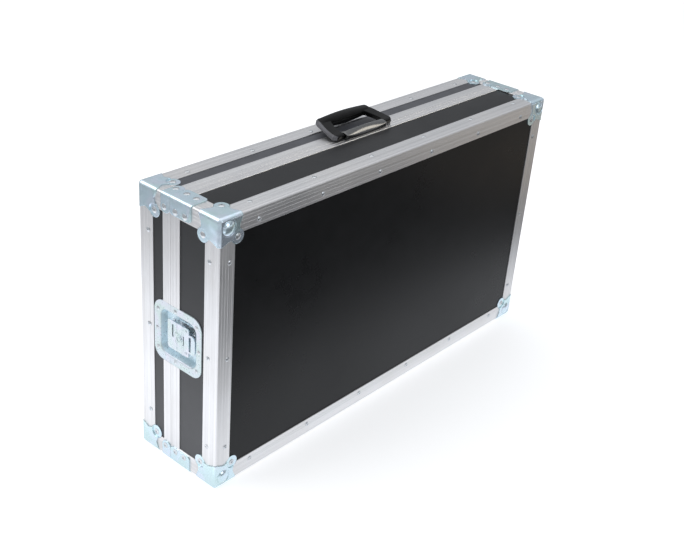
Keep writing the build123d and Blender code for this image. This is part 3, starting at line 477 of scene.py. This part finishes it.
def handle_base():
    bm = bmesh.new()
    top = 0.4665
    rings = []
    n = 30
    steps = 44
    for i in range(steps + 1):
        f = -1 + 2 * i / steps
        x = 0.0502 * f
        k = abs(f)
        # roof-shaped section: side walls, then two slightly bulging flanks up to the ridge
        r = 0.0102 - 0.0008 * k ** 3
        ridge = 0.0138 - 0.0016 * k ** 2
        wall = 0.0036 + 0.0052 * k ** 2
        if k > 0.96:
            q = ((k - 0.96) / 0.04) ** 2
            r -= 0.0008 * q
            ridge -= 0.0008 * q
        ring = []
        p = 2 / 1.38
        for j in range(n):
            a = math.pi * j / (n - 1)
            c, s = math.cos(a), math.sin(a)
            ring.append(Vector((x, 0.010 + r * math.copysign(abs(c) ** p, c), top + wall + (ridge - wall) * abs(s) ** p)))
        for y in (0.010 - r, 0.010, 0.010 + r):
            ring.append(Vector((x, y, top + 0.0002)))
        rings.append(ring)
    loft(bm, rings)
    # foot flange along both sides
    rings = []
    for x, w in ((-0.0496, 0.0078), (-0.0480, 0.0092), (0.0480, 0.0092), (0.0496, 0.0078)):
        rings.append([Vector((x, 0.010 - w, top + 0.0002)), Vector((x, 0.010 + w, top + 0.0002)), Vector((x, 0.010 + w, top + 0.0016)), Vector((x, 0.010 - w, top + 0.0016))])
    loft(bm, rings)
    o = remeshed("handle_base_shell", bm, 0.0005, 3, M_BARREL)
    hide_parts("handle_base")
    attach(o, "body")
    return o


handle_grip()
barrel_shell = handle_base()


# ---------------------------------------------------------------- foam lining
def foam_slab(bm, lo, hi, crown, axis, sign, cut=None):
    """Slab with rounded edges whose inner face crowns a little and is slightly uneven."""
    g = 0.011
    n = [max(2, int(round((hi[i] - lo[i]) / g))) for i in range(3)]
    idx = {}

    def vert(i, j, k):
        key = (i, j, k)
        if key in idx:
            return idx[key]
        f = (i / n[0], j / n[1], k / n[2])
        p = Vector([lo[a] + (hi[a] - lo[a]) * f[a] for a in range(3)])
        w = 1.0
        for a in range(3):
            if a != axis:
                w *= max(0.0, math.sin(math.pi * f[a])) ** 0.35
        face = 1.0 if (sign > 0 and f[axis] > 0.999) or (sign < 0 and f[axis] < 0.001) else 0.0
        if face:
            q = noise.noise(p * 22.0) * 0.5 + 0.5
            p[axis] -= sign * (0.0016 * (1 - w) + 0.0007 * q)
        idx[key] = bm.verts.new(p)
        return idx[key]

    def quad(a, b, c, d):
        bm.faces.new((vert(*a), vert(*b), vert(*c), vert(*d)))

    for i in range(n[0]):
        for j in range(n[1]):
            quad((i, j, 0), (i, j + 1, 0), (i + 1, j + 1, 0), (i + 1, j, 0))
            quad((i, j, n[2]), (i + 1, j, n[2]), (i + 1, j + 1, n[2]), (i, j + 1, n[2]))
    for i in range(n[0]):
        for k in range(n[2]):
            quad((i, 0, k), (i + 1, 0, k), (i + 1, 0, k + 1), (i, 0, k + 1))
            quad((i, n[1], k), (i, n[1], k + 1), (i + 1, n[1], k + 1), (i + 1, n[1], k))
    for j in range(n[1]):
        for k in range(n[2]):
            quad((0, j, k), (0, j, k + 1), (0, j + 1, k + 1), (0, j + 1, k))
            quad((n[0], j, k), (n[0], j + 1, k), (n[0], j + 1, k + 1), (n[0], j, k + 1))


def foam(half):
    node = half + "_foam_lining"
    lo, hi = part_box(node)
    inner = 1 if half == "body" else -1
    y0, y1 = lo.y, hi.y
    ybase = (y0, y0 + 0.015) if half == "body" else (y1 - 0.015, y1)
    bm = bmesh.new()
    foam_slab(bm, (lo.x, ybase[0], lo.z), (hi.x, ybase[1], hi.z), 0.001, 1, inner)
    yw = (ybase[1] + 0.0001, y1) if half == "body" else (y0, ybase[0] - 0.0001)
    t = 0.010
    foam_slab(bm, (lo.x, yw[0], hi.z - t), (hi.x, yw[1], hi.z), 0.001, 2, -1)
    foam_slab(bm, (lo.x, yw[0], lo.z), (hi.x, yw[1], lo.z + t), 0.001, 2, 1)
    wy = (-0.0438, 0.0453)
    wz = (0.1940, 0.2790)
    for s in (-1, 1):
        xa, xb = (lo.x, lo.x + t) if s < 0 else (hi.x - t, hi.x)
        foam_slab(bm, (xa, yw[0], wz[1]), (xb, yw[1], hi.z - t - 0.0001), 0.001, 0, -s)
        foam_slab(bm, (xa, yw[0], lo.z + t + 0.0001), (xb, yw[1], wz[0]), 0.001, 0, -s)
        if half == "body" and wy[0] - yw[0] > 0.004:
            foam_slab(bm, (xa, yw[0], wz[0]), (xb, wy[0], wz[1]), 0.001, 0, -s)
        if half == "lid" and yw[1] - wy[1] > 0.004:
            foam_slab(bm, (xa, wy[1], wz[0]), (xb, yw[1], wz[1]), 0.001, 0, -s)
    bmesh.ops.recalc_face_normals(bm, faces=bm.faces)
    me = bpy.data.meshes.new(half + "_foam")
    bm.to_mesh(me)
    bm.free()
    o = new_object(half + "_foam", me, M_FOAM)
    bv = o.modifiers.new("bevel", "BEVEL")
    bv.width = 0.0016
    bv.segments = 3
    bv.limit_method = "ANGLE"
    bv.angle_limit = math.radians(50)
    apply_modifiers(o)
    shade_smooth(o)
    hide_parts(node)
    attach(o, half)


foam("body")
foam("lid")


# ---------------------------------------------------------------- stage
def plane(name, x0, x1, y0, y1, z):
    me = bpy.data.meshes.new(name)
    me.from_pydata([(x0, y0, z), (x1, y0, z), (x1, y1, z), (x0, y1, z)], [], [(0, 1, 2, 3)])
    o = bpy.data.objects.new(name, me)
    scene.collection.objects.link(o)
    return o


floor = plane("floor", -14, 14, -14, 14, 0.0)
m, t, b = material("floor")
b.inputs["Base Color"].default_value = (0.90, 0.90, 0.90, 1)
b.inputs["Roughness"].default_value = 0.9
b.inputs["Specular IOR Level"].default_value = 0.1
b.inputs["Emission Color"].default_value = (1.0, 1.0, 1.0, 1.0)
b.inputs["Emission Strength"].default_value = 0.40
floor.data.materials.append(m)

# What the gloss sees of the table: white close by, and darker further off.
card = plane("reflection_card", -3.5, 3.5, -3.5, 3.5, 0.0012)
m = bpy.data.materials.new("reflection_card")
m.use_nodes = True
t = Tree(m.node_tree)
for nd in list(m.node_tree.nodes):
    m.node_tree.nodes.remove(nd)
out = t.add("ShaderNodeOutputMaterial")
em = t.add("ShaderNodeEmission")
tc = t.add("ShaderNodeTexCoord")
sep = t.add("ShaderNodeSeparateXYZ")
t.link(tc.outputs["Object"], sep.inputs[0])
X, Y = sep.outputs[0], sep.outputs[1]
dx = t.math("MAXIMUM", t.math("SUBTRACT", t.math("ABSOLUTE", X), 0.41), 0.0)
dy = t.math("MAXIMUM", t.math("SUBTRACT", t.math("ABSOLUTE", Y), 0.088), 0.0)
dist = t.math("SQRT", t.math("ADD", t.math("MULTIPLY", dx, dx), t.math("MULTIPLY", dy, dy)))
dr = t.math("MULTIPLY", dx, 0.35)
reach = t.math("SQRT", t.math("ADD", t.math("MULTIPLY", dr, dr), t.math("MULTIPLY", dy, dy)))
reach = t.math("ADD", reach, t.math("MULTIPLY", t.math("MAXIMUM", X, 0.0), 0.06))
front = t.remap(reach, 0.10, 0.36, 1.02, 0.12, True)
side = t.math("MULTIPLY", t.remap(dist, 0.38, 0.74, 1.38, 1.03, True), t.remap(dist, 0.70, 0.84, 1.0, 0.40, True))
left = t.remap(X, -0.41, -0.48, 0.0, 1.0, True)
rear = t.remap(Y, 0.10, 0.30, 0.0, 1.0, True)
sidef = t.math("MAXIMUM", left, rear)
far = t.math("MULTIPLY", t.remap(X, 0.72, 0.95, 0.0, 1.0, True), t.remap(Y, -0.38, -0.50, 0.0, 1.0, True))
far = t.math("MULTIPLY", far, t.remap(Y, -0.56, -0.72, 1.0, 0.45, True))
front = t.math("ADD", front, t.math("MULTIPLY", far, 0.55))
val = t.math("ADD", t.math("MULTIPLY", front, t.math("SUBTRACT", 1.0, sidef)), t.math("MULTIPLY", side, sidef))
warm = t.mix(far, (0.96, 0.99, 1.04), (1.0, 0.85, 0.68))
t.link(warm, em.inputs["Color"])
t.link(val, em.inputs["Strength"])
t.link(em.outputs[0], out.inputs["Surface"])
card.data.materials.append(m)
card.visible_camera = False
card.visible_diffuse = False
card.visible_shadow = False
card.visible_transmission = False
card.visible_volume_scatter = False


# Pale wall far behind, seen by the camera only, so that low views have no dark horizon.
bm = bmesh.new()
ring = [[bm.verts.new((13.6 * math.cos(2 * math.pi * i / 96), 13.6 * math.sin(2 * math.pi * i / 96), z)) for i in range(96)] for z in (-0.2, 14.0)]
for i in range(96):
    j = (i + 1) % 96
    bm.faces.new((ring[0][j], ring[0][i], ring[1][i], ring[1][j]))
me = bpy.data.meshes.new("backdrop")
bm.to_mesh(me)
bm.free()
backdrop = bpy.data.objects.new("backdrop", me)
scene.collection.objects.link(backdrop)
m, t, b = material("backdrop")
b.inputs["Base Color"].default_value = (0.0, 0.0, 0.0, 1)
b.inputs["Specular IOR Level"].default_value = 0.0
b.inputs["Emission Color"].default_value = (0.97, 0.975, 0.985, 1.0)
b.inputs["Emission Strength"].default_value = 1.0
me.materials.append(m)
backdrop.visible_diffuse = False
backdrop.visible_glossy = False
backdrop.visible_shadow = False
backdrop.visible_transmission = False
backdrop.visible_volume_scatter = False


def area(name, at, target, size, size_y, power, color=(1, 1, 1)):
    d = bpy.data.lights.new(name, "AREA")
    d.shape = "RECTANGLE"
    d.size, d.size_y = size, size_y
    d.energy = power
    d.color = color
    o = bpy.data.objects.new(name, d)
    scene.collection.objects.link(o)
    o.location = at
    o.rotation_euler = (Vector(target) - Vector(at)).to_track_quat("-Z", "Y").to_euler()
    return o


area("softbox_left", (-1.7, 1.5, 2.3), (-0.2, 0, 0.25), 2.7, 2.0, 24.0, (1.0, 0.99, 0.98))
area("softbox_rear", (-2.35, 1.5, 1.45), (-0.41, 0, 0.24), 2.2, 1.5, 5.0, (0.95, 0.98, 1.0))
area("softbox_top", (0.2, 0.0, 2.8), (0, 0, 0.2), 3.6, 3.0, 16.0)
area("softbox_front", (0.35, -3.0, 1.1), (0, 0, 0.3), 1.3, 0.9, 10.0, (0.93, 0.97, 1.0))
rim = area("softbox_right", (1.95, -1.15, 1.95), (0, 0, 0.47), 1.0, 0.55, 6.5, (1.0, 0.93, 0.80))
lit = bpy.data.collections.new("lit_by_softbox_right")
for o in (barrel_shell, nodes["body_closing_profile_top"]):
    lit.objects.link(o)
rim.light_linking.receiver_collection = lit

world = bpy.data.worlds.new("studio")
scene.world = world
world.use_nodes = True
w = Tree(world.node_tree)
bg = world.node_tree.nodes["Background"]
wtc = w.add("ShaderNodeTexCoord")
wsep = w.add("ShaderNodeSeparateXYZ")
w.link(wtc.outputs["Generated"], wsep.inputs[0])
el = w.remap(wsep.outputs[2], 0.05, 0.56, 0.0, 1.0, True)
w.put(bg, "Color", w.mix(el, (0.28, 0.29, 0.31), (0.65, 0.67, 0.70)))
bg.inputs["Strength"].default_value = 1.0

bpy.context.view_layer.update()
